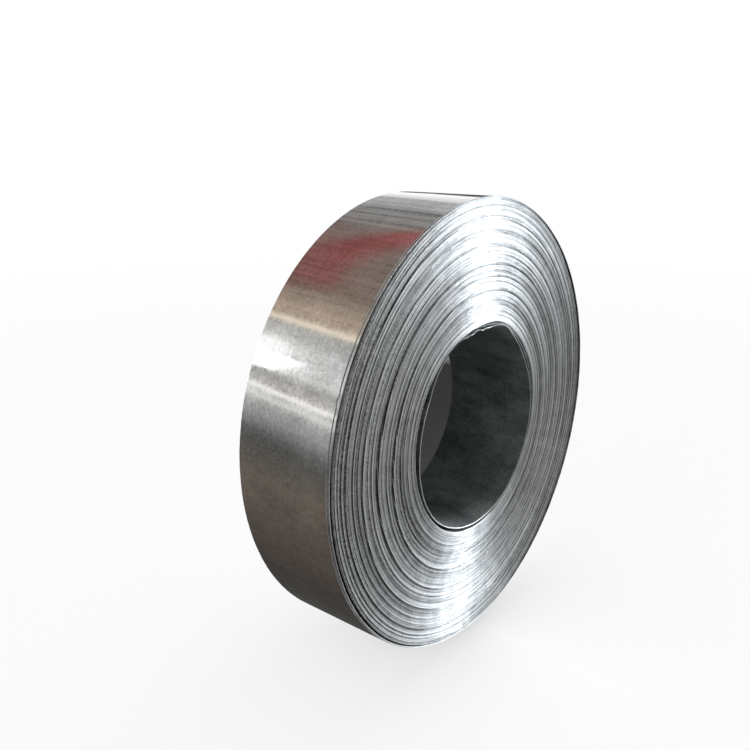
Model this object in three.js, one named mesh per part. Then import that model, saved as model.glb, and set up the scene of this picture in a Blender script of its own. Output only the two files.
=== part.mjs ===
// A narrow coil of slit galvanised steel strip, lying on its outer lap with its
// axis level. Millimetres, +Z up. The coil's axis runs along Y, its front end
// faces -Y, and the origin is on the floor under the middle of the coil.
//
// The strip is wound lap on lap with no space between, so the coil is one
// turned ring. Its laps don't finish quite level with each other: groups of
// laps stand a millimetre or two proud of their neighbours, which shows as
// rings on both ends.

import * as THREE from "three";

// ---- driving dimensions -------------------------------------------------
const OUTER_DIAMETER = 1080; // over the outermost lap
const BORE_DIAMETER = 508; // the 20 inch mandrel that the coil was wound on
const STRIP_WIDTH = 250; // slit width = length of the coil along its axis
const SIDES = 96; // facets round the axis, one of them flat on the floor

// Lap groups of the front end, from the bore outward: [outer radius of the
// group, how far its edge is set back from the plane of the proudest laps].
const FRONT_GROUPS = [
  [262, 2.5], // the first laps, pulled in when the mandrel let go
  [306, 0.0],
  [350, 1.5],
  [392, 0.0],
  [424, 2.0],
  [456, 0.5],
  [486, 2.0],
  [518, 0.0],
  [534, 1.5],
  [540, 3.5], // the outermost laps sit slightly back
];

// Lap groups of the back end, set out the same way.
const BACK_GROUPS = [
  [264, 1.0],
  [318, 0.0],
  [366, 2.0],
  [408, 0.5],
  [452, 2.0],
  [498, 0.0],
  [530, 1.5],
  [540, 0.0],
];

// ---- the turned ring ----------------------------------------------------
const R_OUTER = OUTER_DIAMETER / 2;
const R_BORE = BORE_DIAMETER / 2;
const HALF_WIDTH = STRIP_WIDTH / 2;

// The stepped edge of one end as [radius, height along the axis] points, from
// the bore outward. A land's end and the next land's start share a radius.
function steppedEnd(groups, side) {
  const points = [];
  let inner = R_BORE;
  for (const [outer, setBack] of groups) {
    const y = side * (HALF_WIDTH - setBack);
    points.push([inner, y], [outer, y]);
    inner = outer;
  }
  return points;
}

// A closed profile: up the front end from the bore to the outer lap, across
// the outer lap, down the back end to the bore, and back along the bore.
function coilProfile() {
  const front = steppedEnd(FRONT_GROUPS, -1);
  const back = steppedEnd(BACK_GROUPS, +1).reverse();
  const loop = [...front, ...back, front[0]];
  return loop.map(([r, y]) => new THREE.Vector2(r, y));
}

function coilGeometry() {
  // LatheGeometry turns the profile about Y, which is already the coil's axis.
  // Starting half a facet off puts a facet, not an edge, at the very bottom.
  const start = Math.PI + Math.PI / SIDES;
  const geometry = new THREE.LatheGeometry(
    coilProfile(),
    SIDES,
    start,
    Math.PI * 2,
  );
  return geometry;
}

// ---- scene graph --------------------------------------------------------
const galvanisedSteel = new THREE.MeshStandardMaterial({
  name: "galvanised_steel",
  color: 0x8d908d,
  roughness: 0.35,
  metalness: 1.0,
});

const coil = new THREE.Mesh(coilGeometry(), galvanisedSteel);
coil.name = "steel_coil";
// The axis is one facet's apothem above the floor, so the bottom facet is at 0.
coil.position.z = R_OUTER * Math.cos(Math.PI / SIDES);

const group = new THREE.Group();
group.name = "steel_coil_assembly";
group.add(coil);

export default group;
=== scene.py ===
"""A narrow coil of slit galvanised strip, lying on its outer lap.

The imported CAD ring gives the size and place. This script winds the strip round
that ring lap by lap: the tight body of the coil in three nested windings, the
two loose outer laps with the strip's tail, and the slack laps round the bore
with the strip's inner tip. All lengths in the tables are millimetres, and an
angle is measured clockwise from the top, seen from the front end (-Y).
"""

import math

import bpy
import numpy as np
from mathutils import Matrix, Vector


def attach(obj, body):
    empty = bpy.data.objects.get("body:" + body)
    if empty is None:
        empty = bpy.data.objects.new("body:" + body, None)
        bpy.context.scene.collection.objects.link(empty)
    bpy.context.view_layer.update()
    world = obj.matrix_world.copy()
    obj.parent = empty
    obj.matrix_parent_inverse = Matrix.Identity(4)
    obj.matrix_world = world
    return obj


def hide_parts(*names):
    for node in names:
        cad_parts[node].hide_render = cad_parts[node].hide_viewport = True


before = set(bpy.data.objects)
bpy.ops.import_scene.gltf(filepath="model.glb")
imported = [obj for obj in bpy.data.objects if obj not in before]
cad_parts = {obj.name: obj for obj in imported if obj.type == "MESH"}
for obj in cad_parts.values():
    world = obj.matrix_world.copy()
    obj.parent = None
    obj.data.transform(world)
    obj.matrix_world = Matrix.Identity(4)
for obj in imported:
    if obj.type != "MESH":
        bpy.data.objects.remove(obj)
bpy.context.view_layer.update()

# ---------------------------------------------------------------- dimensions
MM = 0.001
THICK = 2.0  # the strip
HALF_WIDTH = 125.0
AXIS_Z = 539.711  # axis above the floor
R_BODY = 262.0  # where the tight laps start
R_FULL = 535.6  # where the tight laps end, at the top and bottom
LAPS = 134
PITCH = (R_FULL - R_BODY) / (LAPS + 0.5)
SEAM = 165.0  # angle at which a lap's number goes up by one
COLUMNS = 300  # steps round one turn of the body
SPLITS = (0, 46, 91, 134)  # body windings

# How far out the tight laps reach, round the coil: it is pulled a little oval.
BODY_OUT = [
    (0, 535.3), (12, 535.0), (25, 533.4), (40, 530.2), (60, 527.0), (90, 525.6),
    (120, 526.2), (145, 529.6), (157, 533.2), (165, 535.4), (176, 535.7), (190, 535.4),
    (200, 534.9), (210, 533.7), (222, 531.6), (238, 528.8), (255, 526.8), (275, 525.9),
    (300, 525.7), (318, 527.2), (332, 530.4), (346, 534.2),
]
# And where they start: the first of them are pushed in above the bore.
BODY_IN = [
    (0, 251.8), (8, 254.0), (16, 257.0), (25, 257.5), (35, 255.6), (48, 255.0),
    (56, 256.0), (64, 257.8), (75, 259.6), (90, 260.6), (120, 261.2), (150, 261.8),
    (165, 262.0), (180, 262.0), (195, 261.4), (210, 260.4), (225, 259.2), (240, 258.6),
    (270, 258.4), (300, 258.4), (315, 257.0), (330, 254.2), (342, 251.4), (352, 250.8),
]

# Jumps in the winding on the front end: depth of the recess just outside the
# jump, how far it takes to come back level, and the nominal radius it runs at.
FRONT_JUMPS = [
    (2.2, 2.0, [(20, 531), (90, 530), (150, 531), (200, 533), (270, 532), (340, 533)]),
    (2.8, 3.0, [(60, 524), (150, 525), (235, 527), (300, 526)]),
    (3.2, 3.0, [(10, 519), (60, 517), (150, 516), (235, 517), (300, 516)]),
    (3.6, 4.0, [(10, 507), (60, 504), (150, 505), (210, 508), (270, 507), (340, 509)]),
    (5.6, 6.0, [(10, 487), (60, 486), (150, 490), (215, 495), (250, 494), (300, 492)]),
    (2.0, 3.0, [(10, 478), (60, 477), (150, 479), (215, 484), (300, 483)]),
    (4.4, 8.0, [(10, 463), (60, 464), (150, 465), (205, 469), (270, 472), (310, 472), (340, 468)]),
    (2.2, 4.0, [(10, 448), (60, 447), (150, 449), (210, 456), (300, 455), (340, 452)]),
    (5.6, 6.0, [(10, 427), (60, 430), (150, 434), (215, 446), (240, 445), (265, 441), (330, 434)]),
    (1.6, 3.0, [(60, 418), (210, 424), (300, 424)]),
    (4.0, 5.0, [(10, 408), (60, 410), (150, 411), (220, 415), (270, 411), (330, 409)]),
    (1.6, 3.0, [(60, 400), (220, 405), (320, 402)]),
    (6.6, 7.0, [(10, 387), (60, 387), (150, 390), (210, 396), (240, 393), (270, 390), (300, 386), (345, 386)]),
    (1.6, 3.0, [(10, 373), (60, 374), (210, 379), (300, 378)]),
    (3.2, 4.0, [(10, 361), (60, 362), (150, 364), (210, 369), (270, 361), (330, 360)]),
    (6.2, 7.0, [(10, 328), (60, 328), (150, 338), (205, 350), (225, 348), (260, 340), (290, 334), (320, 333)]),
    (2.0, 3.0, [(10, 348), (60, 350), (140, 352), (195, 359), (260, 352), (320, 347)]),
    (2.2, 3.0, [(10, 316), (60, 316), (210, 327), (270, 326), (330, 321)]),
    (3.8, 4.0, [(10, 306), (60, 305), (150, 308), (215, 318), (245, 317), (270, 311), (330, 308)]),
    (2.0, 3.0, [(10, 297), (60, 296), (210, 306), (270, 304), (330, 300)]),
    (3.0, 3.0, [(10, 282), (60, 284), (150, 286), (225, 291), (270, 288), (330, 284)]),
    (2.0, 2.5, [(10, 272), (60, 274), (225, 275), (330, 274)]),
]
BACK_JUMPS = [
    (2.2, 5.0, [(0, 512), (120, 508), (240, 514)]),
    (4.0, 8.0, [(0, 474), (90, 478), (200, 470), (290, 476)]),
    (1.8, 4.0, [(0, 449), (180, 446)]),
    (3.2, 6.0, [(0, 421), (110, 417), (230, 425)]),
    (4.4, 8.0, [(0, 377), (120, 372), (250, 380)]),
    (1.6, 4.0, [(0, 351), (180, 354)]),
    (3.0, 6.0, [(0, 322), (100, 326), (260, 318)]),
    (2.4, 4.0, [(0, 289), (150, 286), (270, 291)]),
]

# Where round the coil the recesses are wide, where they are deep, and how much painted shade the outermost tight laps
# get (lighter where negative).
WIDE = [(0, 0.1), (25, 0.7), (60, 1.0), (120, 1.0), (150, 0.7), (175, 0.0), (210, 0.2), (300, 0.3), (340, 0.0)]
RIM = [(0, 0.8), (15, 2.6), (30, 1.2), (45, 0.3), (75, 1.0), (115, 0.9), (145, 0.6), (165, 1.2), (180, 3.0), (195, 2.0),
       (212, 0.2), (225, -0.1), (255, -0.4), (300, -0.8), (333, -0.2), (346, 0.8)]
DEEP = [(0, 0.26), (14, 0.42), (30, 0.88), (60, 1.05), (145, 1.0), (165, 0.62), (180, 0.32), (196, 0.28), (212, 0.85),
        (232, 1.05), (262, 0.85), (318, 0.75), (335, 0.52), (350, 0.34)]
# Groups of laps that are cut brighter or duller, by nominal radius, and where round the coil that shows.
GROUP_TONE = [(250, 0.0), (262, 0.08), (281, 0.095), (310, -0.065), (348, 0.06), (386, -0.065), (424, 0.08), (462, -0.13),
              (494, 0.08), (514, 0.05), (534, 0.0)]
GROUPS_SHOW = [(0, 0.4), (20, 1.0), (40, 1.8), (60, 1.9), (85, 0.7), (120, 0.3), (200, 0.3), (300, 0.4), (340, 0.5)]
# Painted light and shade on the slit edges round the coil, lighter where positive and darker where negative; where they
# are even, and where they are torn.
PAINTED_LIGHT_AND_SHADE = [(0, 0.0), (15, 0.0), (30, 0.04), (45, 0.19), (60, 0.195), (75, 0.18), (90, 0.12), (105, 0.06), (120, 0.01),
         (135, 0.06), (150, 0.11), (165, 0.04), (180, -0.05), (195, 0.0), (210, 0.05), (225, -0.04), (240, -0.11),
         (255, -0.05), (270, 0.01), (285, 0.04), (300, 0.055), (315, 0.09), (330, 0.03), (345, -0.05)]
CALM = [(0, 1.0), (140, 1.0), (165, 0.65), (180, 0.6), (195, 0.65), (212, 1.0), (345, 0.9)]
TORN = [(0, 0.0), (190, 0.0), (215, 0.5), (245, 1.0), (300, 1.0), (325, 0.5), (345, 0.0)]

# The slack strip round the bore, from its tip: (angle run through, inner radius).
# Past 885 degrees it lies tight against the body.
INNER_RUN = [
    (342, 240.6), (350, 238.8), (360, 239.0), (368, 240.8), (374, 244.8), (380, 248.6),
    (384, 250.0), (389, 248.2), (393, 244.6), (399, 241.0), (407, 238.8), (415, 236.8),
    (423, 238.4), (431, 241.0), (440, 244.5), (455, 248.0), (475, 251.0), (500, 253.0),
    (515, 252.4), (529, 250.6), (540, 249.4), (550, 248.2), (563, 247.8), (574, 249.0),
    (585, 249.5), (598, 248.2), (611, 246.0), (622, 243.5), (635, 240.6), (648, 239.4),
    (657, 239.2), (664, 241.4), (672, 245.6), (680, 248.4), (688, 249.0), (696, 246.8),
    (704, 245.2), (712, 244.6), (720, 245.4), (728, 247.3), (735, 249.6), (743, 252.4),
    (750, 250.8), (758, 248.2), (768, 246.8), (778, 247.2), (790, 249.6), (805, 252.6),
    (830, 256.0), (860, 257.8), (885, 259.9), (900, 264.0), (1245, 270.0),
]
INNER_FRONT = [
    (342, 3.0), (351, 1.6), (372, 1.8), (395, 1.0), (430, 0.8), (520, 0.6), (545, 0.3),
    (600, 0.5), (650, 0.4), (695, 2.2), (735, 2.4), (750, 1.4), (830, 1.8), (900, 1.4), (960, 1.8),
    (1062, 1.4), (1150, 1.8), (1245, 2.0),
]
INNER_TONE = [
    (342, 0.20), (354, 0.34), (368, 0.30), (378, 0.16), (395, 0.45), (440, 0.6), (500, 0.7), (530, 1.0), (590, 1.0), (640, 0.95), (675, 0.5),
    (695, 0.10), (710, 0.16), (728, 0.10), (755, 0.45), (850, 0.4), (930, 0.75), (1040, 0.6), (1100, 0.6), (1245, 0.5),
]
INNER_BACK = [(342, 6.0), (430, 3.5), (560, 2.0), (740, 1.5), (1000, 2.5), (1245, 1.5)]

# The two outer laps in one run, up to the strip's tail.
OUTER_RUN = [
    (165, 534.72), (180, 534.9), (205, 535.0), (220, 534.5), (240, 533.5),
    (255, 532.9), (270, 532.7), (300, 532.7), (320, 533.1), (335, 534.2),
    (346, 535.3), (360, 535.8), (375, 535.8), (390, 534.6), (405, 533.6),
    (420, 533.5), (450, 533.8), (480, 534.5), (510, 536.2), (525, 537.0),
    (540, 537.72), (565, 537.35), (580, 536.8), (600, 535.9), (615, 535.3),
    (630, 535.0), (660, 535.0), (680, 535.4), (695, 536.4), (706, 537.4),
    (720, 537.65), (735, 537.6), (750, 536.9), (765, 536.1), (780, 536.0),
    (810, 536.3), (840, 536.9), (870, 537.6), (885, 537.68),
]
OUTER_FRONT = [
    (165, 1.4), (200, 0.8), (230, 0.5), (270, 0.3), (330, 0.4), (360, 0.8),
    (420, 0.4), (480, 0.6), (515, 1.0), (545, 2.4), (575, 4.2), (610, 5.8),
    (650, 6.4), (690, 5.2), (715, 3.4), (745, 3.6), (790, 5.0), (885, 5.5),
]
OUTER_TONE = [
    (165, 0.5), (250, 0.75), (320, 0.7), (340, 0.45), (370, 0.30), (510, 0.22), (545, 0.45),
    (600, 0.70), (680, 0.70), (700, 0.35), (730, 0.15), (885, 0.10),
]
OUTER_BACK = [
    (165, 1.0), (300, 2.2), (420, 0.6), (525, 1.8), (600, 0.4), (700, 0.9),
    (800, 0.4), (885, 1.6),
]


# ------------------------------------------------------------------- numbers
def run_curve(table, x):
    """Smooth open curve through (x, value) points, with no overshoot."""
    xs = np.array([p[0] for p in table], float)
    ys = np.array([p[1] for p in table], float)
    h = np.diff(xs)
    d = np.diff(ys) / h
    m = np.zeros_like(ys)
    m[0], m[-1] = d[0], d[-1]
    for i in range(1, len(ys) - 1):
        if d[i - 1] * d[i] > 0:
            w1, w2 = 2 * h[i] + h[i - 1], h[i] + 2 * h[i - 1]
            m[i] = (w1 + w2) / (w1 / d[i - 1] + w2 / d[i])
    x = np.clip(x, xs[0], xs[-1])
    i = np.clip(np.searchsorted(xs, x, side="right") - 1, 0, len(xs) - 2)
    s = (x - xs[i]) / h[i]
    return (
        ys[i] * (1 + 2 * s) * (1 - s) ** 2
        + m[i] * h[i] * s * (1 - s) ** 2
        + ys[i + 1] * s * s * (3 - 2 * s)
        + m[i + 1] * h[i] * s * s * (s - 1)
    )


def ring_curve(table, deg):
    """The same for a table that closes on itself after 360 degrees."""
    t = sorted((a % 360, v) for a, v in table)
    wide = [(a - 360, v) for a, v in t] + t + [(a + 360, v) for a, v in t]
    return run_curve(wide, np.mod(deg, 360.0))


class Wander:
    """Seeded smooth noise of one number, about -1 to 1, with a knot at each whole number."""

    def __init__(self, seed, size=4096):
        self.v = np.random.default_rng(seed).uniform(-1, 1, size)

    def __call__(self, x):
        n = len(self.v)
        i = np.floor(x).astype(int)
        s = x - i
        s = s * s * (3 - 2 * s)
        return self.v[i % n] * (1 - s) + self.v[(i + 1) % n] * s


class Wander2:
    """Seeded smooth noise of a free number and an angle in turns, closed round the turn."""

    def __init__(self, seed, knots, rows=512):
        self.k = knots
        self.v = np.random.default_rng(seed).uniform(-1, 1, (rows, knots))

    def __call__(self, x, turn):
        a = np.mod(turn, 1.0) * self.k
        i, j = np.floor(x).astype(int), np.floor(a).astype(int)
        s, t = x - i, a - j
        s, t = s * s * (3 - 2 * s), t * t * (3 - 2 * t)
        n = self.v.shape[0]
        i0, i1, j0, j1 = i % n, (i + 1) % n, j % self.k, (j + 1) % self.k
        v = self.v
        return (v[i0, j0] * (1 - s) + v[i1, j0] * s) * (1 - t) + (
            v[i0, j1] * (1 - s) + v[i1, j1] * s
        ) * t


def soft_step(x, width):
    return 1 / (1 + np.exp(-np.clip(x / width, -40, 40)))


def end_relief(nominal, deg, turn, jumps, seed):
    """Set-back of a lap's edge from the end plane (mm), its tone from 0, dark, to 1, light, with painted shade in the
    recesses, painted highlights on the proud edges and painted light and shade round the coil, and how torn it is.
    """
    t01 = np.mod(deg, 360.0) / 360.0
    wide = ring_curve(WIDE, deg)
    s = 1.35 + 0.60 * Wander2(seed + 1, 5)(nominal / 34.0, t01)
    s = s + 0.36 * Wander2(seed + 2, 9)(nominal / 9.0, t01)
    s = s + 0.34 * Wander(seed + 3)(turn * 3.0)
    s = s + 0.14 * Wander(seed + 4)(turn * 22.0)
    varied = 0.13 * Wander2(seed + 5, 6)(nominal / 13.0, t01)
    varied = varied + 0.17 * Wander2(seed + 6, 7)(nominal / 4.5, t01)
    varied = varied + 0.20 * Wander(seed + 7)(turn * 2.0)
    tone = 0.40 + varied * ring_curve(CALM, deg)
    deep, left = ring_curve(DEEP, deg), ring_curve(TORN, deg)
    # Painted shade on the outermost tight laps, by angle round the coil; where the table is negative they are painted
    # lighter.
    tone = tone - 0.10 * ring_curve(RIM, deg) * soft_step(nominal - 519.0, 2.0) + 0.03 * left
    tone = tone + run_curve(GROUP_TONE, nominal) * ring_curve(GROUPS_SHOW, deg)
    # Painted light and shade by angle round the coil, stronger near the bore.
    tone = tone + ring_curve(PAINTED_LIGHT_AND_SHADE, deg) * (1 + 0.8 * np.exp(-(((nominal - 275.0) / 24.0) ** 2)))
    torn = np.clip(0.35 + 1.6 * Wander2(seed + 8, 5)(nominal / 17.0, t01), 0, 1) * ring_curve(TORN, deg)
    shade = np.ones_like(tone)
    for n, (depth, length, table) in enumerate(jumps):
        x = nominal - ring_curve(table, deg)
        width = (1.7 + 0.42 * depth) * (1 + 0.6 * wide)
        local = 0.85 + 0.35 * Wander2(seed + 20 + n, 8)(np.zeros_like(x) + 3.5, t01)
        on, past = soft_step(x, 0.25), soft_step(x - width, 0.3)
        inside = np.clip(x, -60, 0)
        tail = past * np.exp(-np.clip(x - width, 0, 200) / length)
        ridge_highlight = (1 - on) * np.exp(inside / (2.2 + 1.2 * left)) * (1 + 0.9 * left)
        depth = depth * deep
        s = s + local * depth * (on * (1 - past) + 0.40 * tail)
        s = s - 0.18 * depth * (1 - on) * np.exp(inside / 4.5)
        # Painted shade in the recess just outside each jump, weaker where the edges are torn.
        dark = (0.10 + 0.20 * deep + 0.22 * wide + 0.12 * depth) * (1 - left * np.clip(0.46 - 0.06 * depth, 0, 1))
        shade = shade * (1 - np.minimum(dark, 0.94) * on * (1 - past))
        # Painted shade on the set-back laps past the jump, and a painted highlight on the proud edge inside it.
        tone = tone - 0.035 * depth * tail + 0.10 * depth * ridge_highlight
    return np.maximum(s, 0.12), np.clip(tone, 0.04, 1.0) * shade, torn


# -------------------------------------------------------------------- meshes
def to_space(deg, r, y):
    """Points in metres from angle (degrees), radius and place along the axis (mm)."""
    a = np.radians(deg)
    return np.stack(
        [r * np.sin(a) * MM, y * MM + 0 * a, (AXIS_Z + r * np.cos(a)) * MM], axis=-1
    )


def make_piece(name, verts, quads, ngons, mats, quad_mats, tone, torn):
    """One closed mesh from arrays: quads as an (n, 4) array, and a few longer faces."""
    mesh = bpy.data.meshes.new(name)
    nq = len(quads)
    loops = np.concatenate([quads.reshape(-1)] + [np.asarray(g) for g in ngons])
    sizes = np.concatenate([np.full(nq, 4), np.array([len(g) for g in ngons], int)])
    starts = np.concatenate([[0], np.cumsum(sizes)[:-1]])
    mesh.vertices.add(len(verts))
    mesh.vertices.foreach_set("co", verts.astype(np.float32).reshape(-1))
    mesh.loops.add(len(loops))
    mesh.loops.foreach_set("vertex_index", loops.astype(np.int32))
    mesh.polygons.add(len(sizes))
    mesh.polygons.foreach_set("loop_start", starts.astype(np.int32))
    for m in mats:
        mesh.materials.append(m)
    index = np.concatenate([quad_mats, np.ones(len(ngons), int)])
    mesh.polygons.foreach_set("material_index", index.astype(np.int32))
    mesh.update(calc_edges=True)
    mesh.validate()
    mesh.polygons.foreach_set("use_smooth", np.ones(len(sizes), bool))
    mesh.set_sharp_from_angle(angle=math.radians(32))
    for label, values in (("tone", tone), ("torn", torn)):
        layer = mesh.attributes.new(label, "FLOAT", "POINT")
        layer.data.foreach_set("value", values.astype(np.float32))
    obj = bpy.data.objects.new(name, mesh)
    bpy.context.scene.collection.objects.link(obj)
    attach(obj, "root")
    return obj


def lap_radius(laps, deg):
    """Radius (mm) of a place that many laps out from where the tight body starts."""
    flat = laps * PITCH
    spread = (ring_curve(BODY_OUT, deg) - R_BODY) / (R_FULL - R_BODY)
    pushed = (ring_curve(BODY_IN, deg) - R_BODY) * np.exp(-np.clip(flat, -9, 999) / 60.0)
    return R_BODY + flat * spread + pushed


def body_winding(name, k0, k1, mats):
    """Laps k0 to k1 of the tight body as one closed ring: every lap's edge is a flat land with a groove beside it."""
    n, rows = COLUMNS, 3 * (k1 - k0) + 1
    deg = SEAM + 360.0 * np.arange(n + 1) / n
    frac = np.arange(n + 1) / n
    lap = k0 + np.repeat(np.arange(k1 - k0 + 1), 3)[:rows]
    kind = np.tile([0, 1, 2], k1 - k0 + 1)[:rows]  # groove, inner edge, outer edge
    turn_mid = lap[None, :] + 0.5 + frac[:, None]
    nominal = R_BODY + turn_mid * PITCH
    D = np.broadcast_to(deg[:, None], nominal.shape)
    sides = []
    for jumps, seed, sign in ((FRONT_JUMPS, 100, -1), (BACK_JUMPS, 500, 1)):
        s, tone, torn = end_relief(nominal, D, turn_mid - 0.5, jumps, seed)
        lean = 0.05 * Wander(seed + 9)((turn_mid - 0.5) * 2.5)
        s_land = np.where(kind == 1, s - lean, s + lean)
        before = np.concatenate([s[:, :1], s[:, :-1]], axis=1)
        groove = 0.34 + 0.16 * Wander(seed + 10)((turn_mid - 0.5) * 4.0)
        deep = np.maximum(s, before) + groove
        deep[:, 0] = s[:, 0] + 0.25
        deep[:, -1] = s[:, -2] + 0.25
        s_all = np.where(kind == 0, deep, s_land)
        inset = np.array([0.0, 0.16, -0.16])[kind]
        at = lap[None, :] + frac[:, None] + np.array([0.0, 0.0, 1.0])[kind][None, :]
        r = lap_radius(at, D) + inset[None, :]
        r[:, 0] += 0.04
        r[:, -1] -= 0.04
        # Painted shade in the grooves between the laps.
        tone = np.where(kind == 0, 0.35 * tone, tone)
        sides.append((r, sign * (HALF_WIDTH - s_all), tone, torn))
    # Column n is column 0 one lap further out; only its last lap has vertices of its own.
    grid = n * rows
    verts, tone_out, torn_out, ids = [], [], [], []
    base = 0
    for r, y, tone, torn in sides:
        P = to_space(D, r, y)
        body, tail = P[:n], P[n, -3:]
        verts += [body.reshape(-1, 3), tail]
        tone_out += [tone[:n].reshape(-1), tone[n, -3:]]
        torn_out += [torn[:n].reshape(-1), torn[n, -3:]]
        idx = np.zeros((n + 1, rows), int)
        idx[:n] = base + np.arange(grid).reshape(n, rows)
        idx[n, :-3] = idx[0, 3:]
        idx[n, -3:] = base + grid + np.arange(3)
        ids.append(idx)
        base += grid + 3
    F, B = ids
    front = np.stack([F[:-1, :-1], F[1:, :-1], F[1:, 1:], F[:-1, 1:]], -1).reshape(-1, 4)
    back = np.stack([B[:-1, :-1], B[:-1, 1:], B[1:, 1:], B[1:, :-1]], -1).reshape(-1, 4)
    bore = np.stack([F[:-1, 0], B[:-1, 0], B[1:, 0], F[1:, 0]], -1)
    rim = np.stack([F[:-1, -1], F[1:, -1], B[1:, -1], B[:-1, -1]], -1)
    land = np.tile((kind[:-1] == 1), n)
    mat = np.concatenate(
        [np.where(land, 0, 1), np.where(land, 0, 1), np.ones(2 * n, int)]
    )
    start = [*F[0, :4], *B[0, :4][::-1]]
    stop = [*B[n, -4:], *F[n, -4:][::-1]]
    quads = np.concatenate([front, back, bore, rim])
    return make_piece(
        name, np.concatenate(verts), quads, [start, stop], mats, mat,
        np.concatenate(tone_out), np.concatenate(torn_out),
    )


def strip_run(name, run, front, back, tones, step, across, mats, ripple, seed, edge=None, limit=None, sway=None):
    """One loose stretch of strip as a closed mesh, swept along its run, held inside a limit."""
    a0, a1 = run[0][0], run[-1][0]
    n = int(round((a1 - a0) / step))
    phi = np.linspace(a0, a1, n + 1)
    r_in = run_curve(run, phi)
    if sway is not None:
        r_in = r_in + sway(phi)
    if limit is not None:
        r_in = np.minimum(r_in, limit(phi))
    sf, sb = run_curve(front, phi), run_curve(back, phi)
    rag = Wander(seed)
    sf = sf + 0.22 * rag(phi / 2.3) + 0.12 * Wander(seed + 1)(phi / 0.9)
    sb = sb + 0.22 * Wander(seed + 2)(phi / 2.3)
    if edge is not None:
        sf = sf + edge(phi)
    sf = np.maximum(sf, 0.1)
    sb = np.maximum(sb, 0.1)
    c = 0.22  # how much the slit edge's corners are rounded
    u = np.linspace(0, 1, across + 1)
    y_out = -HALF_WIDTH + sf[:, None] + c + (2 * HALF_WIDTH - (sf + sb)[:, None] - 2 * c) * u
    y_front = -HALF_WIDTH + sf[:, None]
    y_back = HALF_WIDTH - sb[:, None]
    one = np.ones((n + 1, 1))
    Y = np.concatenate([y_out, y_back, y_back, y_out[:, ::-1], y_front, y_front], axis=1)
    dr = np.concatenate(
        [
            THICK * one.repeat(across + 1, 1),
            (THICK - c) * one,
            c * one,
            0 * one.repeat(across + 1, 1),
            c * one,
            (THICK - c) * one,
        ],
        axis=1,
    )
    P2 = phi[:, None] + 0 * Y
    wave = ripple * (
        Wander2(seed + 5, 64)(phi[:, None] / 14.0 + 0 * Y, (Y + 125) / 250.0 * 0.06)
        + 0.5 * Wander2(seed + 6, 64)(phi[:, None] / 5.0 + 0 * Y, (Y + 125) / 250.0 * 0.10)
    )
    R = r_in[:, None] + dr + wave
    V = to_space(P2, R, Y)
    m = Y.shape[1]
    idx = np.arange((n + 1) * m).reshape(n + 1, m)
    nxt = np.roll(idx, -1, axis=1)
    # across the outer face y grows with the column: along phi, then along +Y, faces out
    quads = np.stack([idx[:-1], idx[1:], nxt[1:], nxt[:-1]], -1).reshape(-1, 4)
    is_edge = np.zeros(m, bool)
    is_edge[across : across + 3] = True
    is_edge[2 * across + 3 : m] = True
    mat = np.tile(np.where(is_edge, 0, 1), n)
    outer, inner = idx[:, : across + 1], idx[:, across + 3 : 2 * across + 4][:, ::-1]
    caps = []
    for row, flip in ((0, False), (n, True)):
        o, i = outer[row], inner[row]
        q = np.stack([o[:-1], o[1:], i[1:], i[:-1]], -1)
        caps.append(q[:, ::-1] if flip else q)
        fr = [i[0], idx[row, m - 2], idx[row, m - 1], o[0]]
        bk = [o[-1], idx[row, across + 1], idx[row, across + 2], i[-1]]
        caps.append(np.array([fr[::-1] if flip else fr, bk[::-1] if flip else bk]))
    cap = np.concatenate(caps)
    quads = np.concatenate([quads, cap])
    mat = np.concatenate([mat, np.ones(len(cap), int)])
    tone = run_curve(tones, phi)[:, None] * (1 + 0.25 * Wander(seed + 8)(phi[:, None] / 7.0)) + 0 * Y
    return make_piece(
        name, V.reshape(-1, 3), quads, [], mats, mat, np.clip(tone, 0, 1).reshape(-1), 0.3 + 0 * tone.reshape(-1)
    )


# ----------------------------------------------------------------- materials
def graph(name):
    m = bpy.data.materials.new(name)
    m.use_nodes = True
    nt = m.node_tree
    nt.nodes.clear()
    return m, nt


def node(nt, kind, **props):
    n = nt.nodes.new(kind)
    for k, v in props.items():
        if k.startswith("in_"):
            n.inputs[int(k[3:]) if k[3:].isdigit() else k[3:].replace("_", " ")].default_value = v
        else:
            setattr(n, k, v)
    return n


def math_node(nt, op, a, b=None, clamp=False):
    n = nt.nodes.new("ShaderNodeMath")
    n.operation = op
    n.use_clamp = clamp
    for i, v in enumerate((a, b)):
        if v is None:
            continue
        if hasattr(v, "links"):
            nt.links.new(v, n.inputs[i])
        else:
            n.inputs[i].default_value = v
    return n.outputs[0]


def span(nt, v, a, b, c, d):
    """v from a..b to c..d, held at the ends."""
    n = nt.nodes.new("ShaderNodeMapRange")
    nt.links.new(v, n.inputs[0])
    for i, x in enumerate((a, b, c, d)):
        n.inputs[i + 1].default_value = x
    return n.outputs[0]


def noise(nt, vec, scale, detail=2.0, rough=0.5):
    n = nt.nodes.new("ShaderNodeTexNoise")
    nt.links.new(vec, n.inputs["Vector"])
    n.inputs["Scale"].default_value = scale
    n.inputs["Detail"].default_value = detail
    n.inputs["Roughness"].default_value = rough
    return n.outputs[0]


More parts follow.
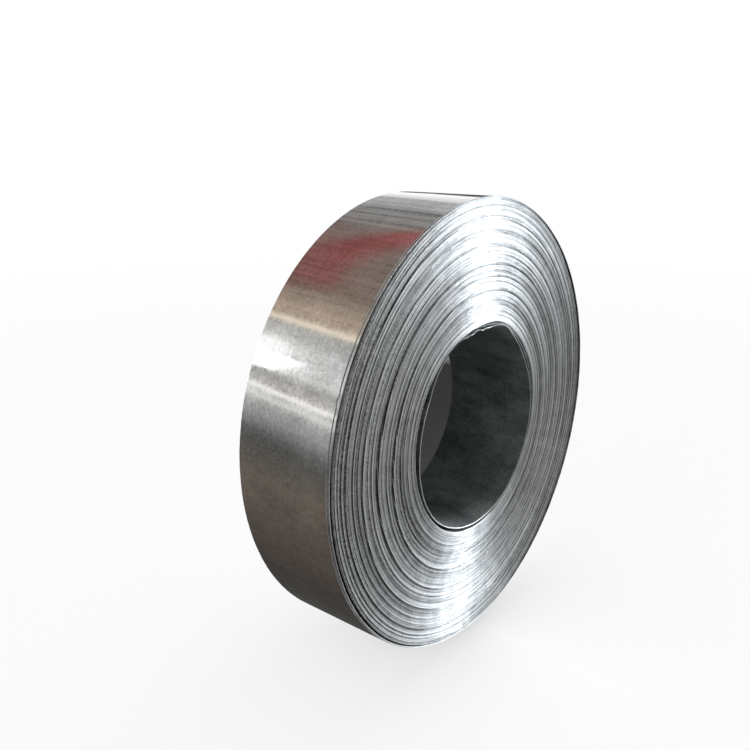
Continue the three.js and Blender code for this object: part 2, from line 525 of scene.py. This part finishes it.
def coil_coordinates(nt):
    """(winding vector, radius, object point): the winding vector is long round the coil and short across the laps."""
    tc = nt.nodes.new("ShaderNodeTexCoord")
    sep = nt.nodes.new("ShaderNodeSeparateXYZ")
    nt.links.new(tc.outputs["Object"], sep.inputs[0])
    x, y = sep.outputs[0], sep.outputs[1]
    z = math_node(nt, "SUBTRACT", sep.outputs[2], AXIS_Z * MM)
    r = math_node(nt, "SQRT", math_node(nt, "ADD", math_node(nt, "MULTIPLY", x, x), math_node(nt, "MULTIPLY", z, z)))
    cx, cz = math_node(nt, "DIVIDE", x, r), math_node(nt, "DIVIDE", z, r)
    return tc.outputs["Object"], r, cx, cz, y


def joined(nt, a, b, c):
    n = nt.nodes.new("ShaderNodeCombineXYZ")
    for i, v in enumerate((a, b, c)):
        if hasattr(v, "links"):
            nt.links.new(v, n.inputs[i])
        else:
            n.inputs[i].default_value = v
    return n.outputs[0]


def colour_mix(nt, fac, a, b):
    n = nt.nodes.new("ShaderNodeMix")
    n.data_type = "RGBA"
    nt.links.new(fac, n.inputs[0])
    for i, v in ((6, a), (7, b)):
        if hasattr(v, "links"):
            nt.links.new(v, n.inputs[i])
        else:
            n.inputs[i].default_value = (*v, 1)
    return n.outputs[2]


def edge_steel():
    """The slit edges of the laps: bright sheared steel with fine marks along the strip."""
    m, nt = graph("slit_edge_steel")
    obj, r, cx, cz, y = coil_coordinates(nt)
    # The tone attribute holds the laps' own tone together with painted shade in recesses and grooves, painted
    # highlights on proud edges and painted light and shade round the coil.
    tone = node(nt, "ShaderNodeAttribute", attribute_name="tone").outputs["Fac"]
    lines = noise(nt, joined(nt, math_node(nt, "MULTIPLY", r, 900.0), math_node(nt, "MULTIPLY", cx, 5.0), math_node(nt, "MULTIPLY", cz, 5.0)), 1.0, 2.0)
    grit = noise(nt, obj, 210.0, 3.0, 0.6)
    smear = noise(nt, obj, 34.0, 2.0, 0.55)
    torn = node(nt, "ShaderNodeAttribute", attribute_name="torn").outputs["Fac"]
    chips = noise(nt, joined(nt, math_node(nt, "MULTIPLY", r, 290.0), math_node(nt, "MULTIPLY", cx, 80.0), math_node(nt, "MULTIPLY", cz, 80.0)), 1.0, 1.0)
    chips = math_node(nt, "MULTIPLY", span(nt, chips, 0.50, 0.60, 0.0, 0.24), torn)
    f = math_node(nt, "ADD", tone, span(nt, lines, 0.3, 0.7, -0.10, 0.10))
    f = math_node(nt, "ADD", f, math_node(nt, "MULTIPLY", span(nt, grit, 0.3, 0.7, -0.10, 0.10), math_node(nt, "ADD", torn, 1.0)))
    f = math_node(nt, "SUBTRACT", f, chips)
    f = math_node(nt, "ADD", f, span(nt, smear, 0.3, 0.7, -0.08, 0.08), clamp=True)
    colour = colour_mix(nt, f, (0.10, 0.102, 0.102), (0.92, 0.93, 0.94))
    rough = math_node(nt, "ADD", span(nt, tone, 0.0, 1.0, 0.57, 0.47), span(nt, grit, 0.3, 0.7, -0.03, 0.05))
    bump = node(nt, "ShaderNodeBump")
    bump.inputs["Strength"].default_value = 0.35
    bump.inputs["Distance"].default_value = 0.0003
    nt.links.new(math_node(nt, "SUBTRACT", math_node(nt, "ADD", lines, grit), math_node(nt, "MULTIPLY", chips, 2.0)), bump.inputs["Height"])
    tan = node(nt, "ShaderNodeTangent", direction_type="RADIAL", axis="Y")
    p = node(nt, "ShaderNodeBsdfPrincipled")
    nt.links.new(colour, p.inputs["Base Color"])
    nt.links.new(rough, p.inputs["Roughness"])
    nt.links.new(bump.outputs[0], p.inputs["Normal"])
    nt.links.new(tan.outputs[0], p.inputs["Tangent"])
    p.inputs["Metallic"].default_value = 1.0
    p.inputs["Anisotropic"].default_value = 0.9
    p.inputs["Anisotropic Rotation"].default_value = 0.25
    out = node(nt, "ShaderNodeOutputMaterial")
    nt.links.new(p.outputs[0], out.inputs[0])
    return m


def sheet_steel(name, low, high, rough_low, rough_high, patchy, dull=0.0):
    """The strip's zinc-coated face: fine spangle, dull and bright patches, and faint lines along the strip."""
    m, nt = graph(name)
    obj, r, cx, cz, y = coil_coordinates(nt)
    round_vec = joined(nt, math_node(nt, "MULTIPLY", y, 1.0), math_node(nt, "MULTIPLY", cx, 0.54), math_node(nt, "MULTIPLY", cz, 0.54))
    cells = node(nt, "ShaderNodeTexVoronoi")
    nt.links.new(round_vec, cells.inputs["Vector"])
    cells.inputs["Scale"].default_value = 270.0
    spangle = node(nt, "ShaderNodeSeparateColor")
    nt.links.new(cells.outputs["Color"], spangle.inputs[0])
    flake = spangle.outputs[0]
    cloud = noise(nt, round_vec, 16.0, 4.0, 0.62)
    broad = noise(nt, round_vec, 4.5, 2.0, 0.5)
    fine = noise(nt, round_vec, 120.0, 3.0, 0.6)
    lines = noise(nt, joined(nt, math_node(nt, "MULTIPLY", y, 420.0), math_node(nt, "MULTIPLY", cx, 2.2), math_node(nt, "MULTIPLY", cz, 2.2)), 1.0, 2.0)
    f = math_node(nt, "ADD", span(nt, cloud, 0.3, 0.7, 0.3, 0.7), span(nt, flake, 0.0, 1.0, -0.16, 0.16))
    f = math_node(nt, "ADD", f, span(nt, fine, 0.3, 0.7, -0.16, 0.16))
    f = math_node(nt, "ADD", f, span(nt, broad, 0.3, 0.7, -patchy, patchy))
    f = math_node(nt, "ADD", f, span(nt, lines, 0.3, 0.7, -0.10, 0.10), clamp=True)
    colour = colour_mix(nt, f, low, high)
    ro = math_node(nt, "ADD", span(nt, cloud, 0.3, 0.7, rough_low, rough_high), span(nt, fine, 0.3, 0.7, -0.03, 0.04))
    ro = math_node(nt, "ADD", ro, span(nt, flake, 0.0, 1.0, -0.015, 0.02))
    bump = node(nt, "ShaderNodeBump")
    bump.inputs["Strength"].default_value = 0.22
    bump.inputs["Distance"].default_value = 0.0003
    h = math_node(nt, "ADD", math_node(nt, "MULTIPLY", fine, 0.5), math_node(nt, "MULTIPLY", lines, 0.35))
    nt.links.new(h, bump.inputs["Height"])
    p = node(nt, "ShaderNodeBsdfPrincipled")
    nt.links.new(colour, p.inputs["Base Color"])
    nt.links.new(ro, p.inputs["Roughness"])
    nt.links.new(bump.outputs[0], p.inputs["Normal"])
    p.inputs["Metallic"].default_value = 1.0
    shader = p.outputs[0]
    if dull:
        q = node(nt, "ShaderNodeBsdfPrincipled")
        nt.links.new(colour, q.inputs["Base Color"])
        nt.links.new(bump.outputs[0], q.inputs["Normal"])
        q.inputs["Metallic"].default_value = 1.0
        q.inputs["Roughness"].default_value = 0.8
        mouth = math_node(nt, "MULTIPLY", span(nt, y, -0.125, -0.035, 1.0, 0.0), span(nt, cz, -0.95, -0.55, 1.15, 0.32))
        both = node(nt, "ShaderNodeMixShader")
        nt.links.new(math_node(nt, "ADD", math_node(nt, "MULTIPLY", mouth, 0.70), dull, clamp=True), both.inputs[0])
        nt.links.new(shader, both.inputs[1])
        nt.links.new(q.outputs[0], both.inputs[2])
        shader = both.outputs[0]
    out = node(nt, "ShaderNodeOutputMaterial")
    nt.links.new(shader, out.inputs[0])
    return m


slit_edge = edge_steel()
sheet = sheet_steel("galvanised_sheet", (0.43, 0.43, 0.425), (0.81, 0.81, 0.80), 0.05, 0.10, 0.06)
# The bore's sheet is the same sheet painted darker for the shade inside the coil, and made rougher.
bore_sheet_painted_shade = sheet_steel("galvanised_sheet_bore_painted_shade", (0.16, 0.175, 0.175), (0.58, 0.60, 0.595), 0.28, 0.42, 0.30, dull=0.22)

# --------------------------------------------------------------------- pieces
windings = [
    body_winding(name, SPLITS[i], SPLITS[i + 1], [slit_edge, sheet])
    for i, name in enumerate(("inner_laps", "middle_laps", "outer_laps"))
]


def torn_edge(phi):
    """Small damage along the outermost lap's front edge, and the ragged stretch low on the left."""
    nick = 3.4 * np.exp(-(((phi - 651.0) / 0.55) ** 2)) - 1.6 * np.exp(-(((phi - 652.4) / 0.5) ** 2))
    low = np.exp(-(((phi - 600.0) / 17.0) ** 2)) + np.exp(-(((phi - 240.0) / 15.0) ** 2))
    return nick + 0.7 * low * Wander(77)(phi / 1.1)


def crumpled_edge(phi):
    """Uneven edge of the slack laps where they hang over the bore."""
    over = np.exp(-(((phi - 357.0) / 13.0) ** 2)) + np.exp(-(((phi - 712.0) / 16.0) ** 2))
    return over * (1.6 * Wander(81)(phi / 2.6) + 0.6 * Wander(82)(phi / 1.2))


def crumpled_run(phi):
    """Kinks of the same laps, in and out."""
    inner = np.exp(-(((phi - 357.0) / 11.0) ** 2)) * (Wander(83)(phi / 3.4) + 0.5 * Wander(85)(phi / 1.7))
    outer = np.exp(-(((phi - 711.0) / 14.0) ** 2)) * (Wander(84)(phi / 3.7) + 0.5 * Wander(86)(phi / 1.9))
    return 2.5 * inner + 1.5 * outer


loose_outer = strip_run(
    "outer_turns_and_tail", OUTER_RUN, OUTER_FRONT, OUTER_BACK, OUTER_TONE, 1.2, 14,
    [slit_edge, sheet], 0.10, 900, torn_edge
)
loose_inner = strip_run(
    "bore_turns_and_tip", INNER_RUN, INNER_FRONT, INNER_BACK, INNER_TONE, 0.8, 10,
    [slit_edge, bore_sheet_painted_shade], 0.03, 950, crumpled_edge, limit=lambda phi: lap_radius((phi - 1245.0) / 360.0, phi) - 0.05,
    sway=crumpled_run,
)
for piece in windings + [loose_outer, loose_inner]:
    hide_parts("steel_coil")

# --------------------------------------------------------------------- camera
cam_data = bpy.data.cameras.new("camera")
cam_data.lens = 38.24
cam_data.sensor_width = 36.0
cam = bpy.data.objects.new("camera", cam_data)
cam.location = (-1.546, -1.065, 1.2015)
cam.rotation_euler = (math.radians(73.454), 0.0, math.radians(-50.711))
bpy.context.scene.collection.objects.link(cam)
bpy.context.scene.camera = cam


# ---------------------------------------------------------------------- stage
def plane(name, size, z):
    mesh = bpy.data.meshes.new(name)
    h = size / 2
    mesh.from_pydata([(-h, -h, z), (h, -h, z), (h, h, z), (-h, h, z)], [], [(0, 1, 2, 3)])
    obj = bpy.data.objects.new(name, mesh)
    bpy.context.scene.collection.objects.link(obj)
    return obj


def floor_material():
    """Pale floor that fades into the white surroundings with distance from the object.

    The lights are low, so the soft shade that an overhead sky would leave under the coil is in the floor itself:
    the share of sky hidden by a roller that wide, at that distance from where it stands.
    """
    m, nt = graph("studio_floor")
    tc = node(nt, "ShaderNodeTexCoord")
    length = node(nt, "ShaderNodeVectorMath", operation="LENGTH")
    nt.links.new(tc.outputs["Object"], length.inputs[0])
    far = span(nt, length.outputs["Value"], 2.4, 7.0, 0.0, 1.0)
    sep = node(nt, "ShaderNodeSeparateXYZ")
    nt.links.new(tc.outputs["Object"], sep.inputs[0])
    x, y = sep.outputs[0], sep.outputs[1]
    rr = (AXIS_Z * MM) ** 2
    hidden = math_node(nt, "DIVIDE", rr, math_node(nt, "ADD", math_node(nt, "MULTIPLY", x, x), rr))
    reach = math_node(nt, "ADD", math_node(nt, "MULTIPLY", math_node(nt, "ABSOLUTE", x), 0.45), 0.06)
    ends = [
        math_node(nt, "ARCTANGENT", math_node(nt, "DIVIDE", math_node(nt, "ADD", y, e * HALF_WIDTH * MM), reach))
        for e in (1, -1)
    ]
    hidden = math_node(nt, "MULTIPLY", hidden, math_node(nt, "SUBTRACT", ends[0], ends[1]))
    shade = colour_mix(nt, math_node(nt, "MULTIPLY", hidden, 0.75 / math.pi), (0.86, 0.86, 0.86), (0.0, 0.0, 0.0))
    d = node(nt, "ShaderNodeBsdfDiffuse")
    nt.links.new(shade, d.inputs["Color"])
    e = node(nt, "ShaderNodeEmission")
    e.inputs["Color"].default_value = (1, 1, 1, 1)
    e.inputs["Strength"].default_value = 1.0
    mix = node(nt, "ShaderNodeMixShader")
    nt.links.new(far, mix.inputs[0])
    nt.links.new(d.outputs[0], mix.inputs[1])
    nt.links.new(e.outputs[0], mix.inputs[2])
    out = node(nt, "ShaderNodeOutputMaterial")
    nt.links.new(mix.outputs[0], out.inputs[0])
    return m


def flag_material():
    """Dark flag that fills the far mouth of the bore for reflections only."""
    m, nt = graph("bore_flag")
    e = node(nt, "ShaderNodeEmission")
    e.inputs["Color"].default_value = (0.9, 1.0, 0.97, 1)
    e.inputs["Strength"].default_value = 0.035
    out = node(nt, "ShaderNodeOutputMaterial")
    nt.links.new(e.outputs[0], out.inputs[0])
    return m


def unseen(obj, *flags):
    for flag in flags:
        setattr(obj, "visible_" + flag, False)


floor = plane("floor", 80.0, -0.0002)
floor.data.materials.append(floor_material())
unseen(floor, "glossy", "shadow")
flag_mesh = bpy.data.meshes.new("bore_flag")
flag_mesh.from_pydata(
    [(0.262 * math.sin(t * math.pi / 32), 0.1268, AXIS_Z * MM + 0.262 * math.cos(t * math.pi / 32)) for t in range(64)],
    [],
    [tuple(range(64))],
)
flag = bpy.data.objects.new("bore_flag", flag_mesh)
bpy.context.scene.collection.objects.link(flag)
flag_mesh.materials.append(flag_material())
unseen(flag, "camera", "diffuse", "transmission", "volume_scatter")


# --------------------------------------------------------------------- lights
def soft_box(name, towards, distance, size, radiance, colour=(1, 1, 1), aim=(0, 0, 0.54), seen="glossy"):
    """A soft box of that radiance. The steel sees the glossy ones, the floor the diffuse ones."""
    data = bpy.data.lights.new(name, "AREA")
    data.shape = "RECTANGLE"
    data.size, data.size_y = size
    data.energy = radiance * size[0] * size[1] * math.pi
    data.color = colour
    obj = bpy.data.objects.new(name, data)
    d = Vector(towards).normalized()
    obj.location = Vector(aim) + d * distance
    obj.rotation_euler = (-d).to_track_quat("-Z", "Y").to_euler()
    unseen(obj, "camera", "diffuse" if seen == "glossy" else "glossy")
    bpy.context.scene.collection.objects.link(obj)
    return obj


def bearing(azimuth, elevation):
    """Direction from the coil: azimuth 0 is +Y and 90 is +X, in degrees."""
    a, e = math.radians(azimuth), math.radians(elevation)
    return (math.sin(a) * math.cos(e), math.cos(a) * math.cos(e), math.sin(e))


# For the face: a tall narrow box to the right, and the sunlit floor beyond it.
soft_box("key_right", bearing(124.1, 9.5), 10.0, (2.0, 4.9), 19.5, (0.87, 0.94, 1.0))
soft_box("glow_right", bearing(106, 9.0), 10.0, (3.4, 4.9), 2.0, (0.89, 0.95, 1.0))
soft_box("floor_glow_right", bearing(112, -44.0), 10.0, (5.0, 2.6), 1.3, (0.95, 0.98, 1.0))
soft_box("bright_floor_right", bearing(110.1, -43.9), 10.0, (1.5, 2.5), 18.5, (0.85, 0.935, 1.0))
# For the back end, and for nothing else: the outer laps don't mirror it.
key_back = soft_box("key_back", bearing(8, 16.0), 10.0, (2.6, 4.6), 9.0, (0.95, 0.98, 1.0))
back_lit = bpy.data.collections.new("lit_by_key_back")
for piece in windings + [loose_inner]:
    back_lit.objects.link(piece)
key_back.light_linking.receiver_collection = back_lit
# For the outer lap: a window to the left behind.
soft_box("window_left", bearing(-36.0, 21.2), 6.0, (2.0, 0.62), 1.25)

sun_data = bpy.data.lights.new("floor_sun", "SUN")
sun_data.energy = 9.95
sun_data.angle = math.radians(9)
sun = bpy.data.objects.new("floor_sun", sun_data)
sun.rotation_euler = (-Vector(bearing(-128.4, 20))).to_track_quat("-Z", "Y").to_euler()
unseen(sun, "camera", "glossy")
bpy.context.scene.collection.objects.link(sun)

world = bpy.data.worlds.new("studio")
bpy.context.scene.world = world
world.use_nodes = True
world.cycles.sampling_method = "NONE"
nt = world.node_tree
nt.nodes.clear()


def ramp(nt, v, stops):
    n = nt.nodes.new("ShaderNodeValToRGB")
    n.color_ramp.interpolation = "LINEAR"
    els = n.color_ramp.elements
    while len(els) < len(stops):
        els.new(0.5)
    for el, (at, c) in zip(els, stops):
        el.position = at
        el.color = (*c, 1)
    nt.links.new(v, n.inputs[0])
    return n.outputs[0]


lp = nt.nodes.new("ShaderNodeLightPath")
tc = nt.nodes.new("ShaderNodeTexCoord")
sep = nt.nodes.new("ShaderNodeSeparateXYZ")
nt.links.new(tc.outputs["Generated"], sep.inputs[0])
# The room that the steel mirrors, by the sine of the elevation, from straight down to overhead.
height = span(nt, sep.outputs[2], -1.0, 1.0, 0.0, 1.0)


def up(sine):
    return 0.5 + 0.5 * sine


# Behind the coil the room lies in bands along the coil's axis, a little askew to it. They go by the
# angle round the axis: 90 is level on the right, 0 straight up, -90 level on the left.
round_axis = math_node(nt, "MULTIPLY", math_node(nt, "ARCTAN2", sep.outputs[0], sep.outputs[2]), 180 / math.pi)
along = math_node(nt, "MULTIPLY", math_node(nt, "ARCSINE", sep.outputs[1]), 180 / math.pi)
askew = math_node(nt, "MULTIPLY", math_node(nt, "SUBTRACT", along, 42.5), 0.86)
band_at = math_node(nt, "SUBTRACT", round_axis, askew)


def bands(stops):
    return ramp(nt, span(nt, band_at, -180.0, 180.0, 0.0, 1.0), [((a + 180.0) / 360.0, c) for a, c in stops])


def grey(v):
    return (v, v, v)


room_bands = bands([
    (-180, (0.07, 0.06, 0.055)), (-123, (0.185, 0.155, 0.13)), (-104, (0.13, 0.13, 0.125)),  # floor, left
    (-99, grey(0.19)), (-93, grey(0.40)), (-86, grey(0.52)), (-83.2, (0.68, 0.67, 0.66)),  # wall
    (-82.2, grey(1.70)), (-81.0, (0.80, 0.79, 0.77)), (-78.9, (0.80, 0.79, 0.77)), (-77.6, (2.0, 1.96, 1.9)),
    (-76.0, (0.85, 0.83, 0.80)), (-73, (0.62, 0.60, 0.58)),  # slots
    (-67.5, (0.60, 0.59, 0.58)), (-65.6, grey(1.05)), (-62.5, grey(0.90)), (-58.5, grey(0.97)), (-49, grey(0.78)),
    (-40.5, (0.56, 0.55, 0.52)), (-37.8, (1.45, 1.28, 1.02)),  # high windows
    (-35.5, (0.62, 0.49, 0.40)), (-26, (0.50, 0.395, 0.32)), (-20, (0.30, 0.235, 0.195)), (28, (0.29, 0.225, 0.205)),
    (40, (0.33, 0.32, 0.31)), (50, (0.31, 0.305, 0.305)), (60, grey(0.50)), (69, (0.55, 0.54, 0.54)),  # roof
    (74, grey(0.95)), (86, grey(1.35)), (89.5, grey(0.08)), (180, (0.07, 0.065, 0.06)),
])
# Roof ribs and streaks, strongest overhead on the right.
streaks = noise(nt, joined(nt, math_node(nt, "MULTIPLY", band_at, 0.42), math_node(nt, "MULTIPLY", along, 0.05), 0.0), 1.0, 3.0, 0.6)
strong = ramp(nt, span(nt, band_at, -180.0, 180.0, 0.0, 1.0), [((a + 180.0) / 360.0, grey(v)) for a, v in (
    (-110, 0.20), (-60, 0.15), (-30, 0.30), (-18, 0.55), (5, 0.50), (20, 0.35), (32, 0.75), (54, 0.75), (72, 0.30), (84, 0.1))])
swing = math_node(nt, "MULTIPLY", span(nt, streaks, 0.30, 0.70, -1.0, 1.0), strong)
striped = nt.nodes.new("ShaderNodeVectorMath")
striped.operation = "SCALE"
# A red girder crosses the roof; what is beyond it is pinkish.
girder = nt.nodes.new("ShaderNodeVectorMath")
girder.operation = "DOT_PRODUCT"
nt.links.new(tc.outputs["Generated"], girder.inputs[0])
girder.inputs[1].default_value = (0.1859, 0.7218, -0.6667)
across_girder = math_node(nt, "ABSOLUTE", math_node(nt, "SUBTRACT", girder.outputs["Value"], -0.004))
on_girder = math_node(nt, "MULTIPLY", span(nt, across_girder, 0.022, 0.052, 0.90, 0.0), span(nt, along, 41.5, 44.5, 1.0, 0.45))
in_length = math_node(nt, "MULTIPLY", span(nt, round_axis, -20.0, -10.0, 0.0, 1.0), span(nt, round_axis, 26.0, 33.0, 1.0, 0.0))
on_girder = math_node(nt, "MULTIPLY", on_girder, in_length)
overhead = math_node(nt, "MULTIPLY", span(nt, band_at, -22.0, -12.0, 0.0, 1.0), span(nt, band_at, 16.0, 30.0, 1.0, 0.0))
beyond = math_node(nt, "MULTIPLY", overhead, span(nt, along, 39.5, 43.0, 0.0, 0.75))
pink = colour_mix(nt, beyond, room_bands, (0.32, 0.185, 0.17))
red = colour_mix(nt, on_girder, pink, (0.335, 0.095, 0.095))
# The window on the left glows softly above its sill, more so towards its far end.
glow = ramp(nt, span(nt, band_at, -180.0, 180.0, 0.0, 1.0), [((a + 180.0) / 360.0, grey(v)) for a, v in (
    (-66, 0.0), (-62, 1.0), (-52, 0.85), (-46, 0.15), (-42, 0.0))])
glow = math_node(nt, "MULTIPLY", glow, span(nt, along, 42.0, 46.0, 0.0, 0.85))
lit = nt.nodes.new("ShaderNodeVectorMath")
lit.operation = "ADD"
nt.links.new(red, lit.inputs[0])
nt.links.new(glow, lit.inputs[1])
nt.links.new(lit.outputs[0], striped.inputs[0])
nt.links.new(math_node(nt, "ADD", swing, 1.0), striped.inputs["Scale"])
# In front the room is even, with a paler band at half height.
front_wall = ramp(nt, height, [(up(e), (v, 1.01 * v, 0.995 * v)) for e, v in (
    (-1.0, 0.385), (0.1, 0.40), (0.3, 0.56), (0.485, 0.70), (0.67, 0.56), (0.85, 0.41), (1.0, 0.385))])
# Off the face's own mirror line there are a roof, windows and a floor in front too, for the outer lap's far side.
far_bands = ramp(nt, span(nt, round_axis, -180.0, 180.0, 0.0, 1.0), [((a + 180.0) / 360.0, grey(v)) for a, v in (
    (-180, 1.0), (-150, 0.9), (-112, 0.7), (-92, 1.0), (-84, 1.8), (-76, 1.1), (-40, 0.85), (-8, 1.15), (-2, 2.4), (6, 1.2),
    (30, 0.9), (52, 1.2), (60, 2.4), (72, 1.8), (80, 1.2), (93, 1.05), (104, 1.0), (180, 1.0))])
sideways = math_node(nt, "MULTIPLY", span(nt, along, -50.0, -40.0, 0.0, 1.0), span(nt, along, -12.0, -4.0, 1.0, 0.0))
far_side = math_node(nt, "ADD", math_node(nt, "MULTIPLY", math_node(nt, "SUBTRACT", far_bands, 1.0), sideways), 1.0)
front_room = nt.nodes.new("ShaderNodeVectorMath")
front_room.operation = "SCALE"
nt.links.new(front_wall, front_room.inputs[0])
nt.links.new(far_side, front_room.inputs["Scale"])
room = colour_mix(nt, span(nt, sep.outputs[1], -0.12, 0.08, 0.0, 1.0), front_room.outputs[0], striped.outputs[0])
bg_room = nt.nodes.new("ShaderNodeBackground")
nt.links.new(room, bg_room.inputs[0])
bg_room.inputs[1].default_value = 1.0
bg_fill = nt.nodes.new("ShaderNodeBackground")
bg_fill.inputs[0].default_value = (1, 1, 1, 1)
bg_fill.inputs[1].default_value = 0.04
bg_white = nt.nodes.new("ShaderNodeBackground")
bg_white.inputs[0].default_value = (1, 1, 1, 1)
bg_white.inputs[1].default_value = 1.0
mix1 = nt.nodes.new("ShaderNodeMixShader")
nt.links.new(lp.outputs["Is Glossy Ray"], mix1.inputs[0])
nt.links.new(bg_fill.outputs[0], mix1.inputs[1])
nt.links.new(bg_room.outputs[0], mix1.inputs[2])
mix2 = nt.nodes.new("ShaderNodeMixShader")
nt.links.new(lp.outputs["Is Camera Ray"], mix2.inputs[0])
nt.links.new(mix1.outputs[0], mix2.inputs[1])
nt.links.new(bg_white.outputs[0], mix2.inputs[2])
wout = nt.nodes.new("ShaderNodeOutputWorld")
nt.links.new(mix2.outputs[0], wout.inputs[0])

bpy.context.scene.view_settings.view_transform = "Standard"
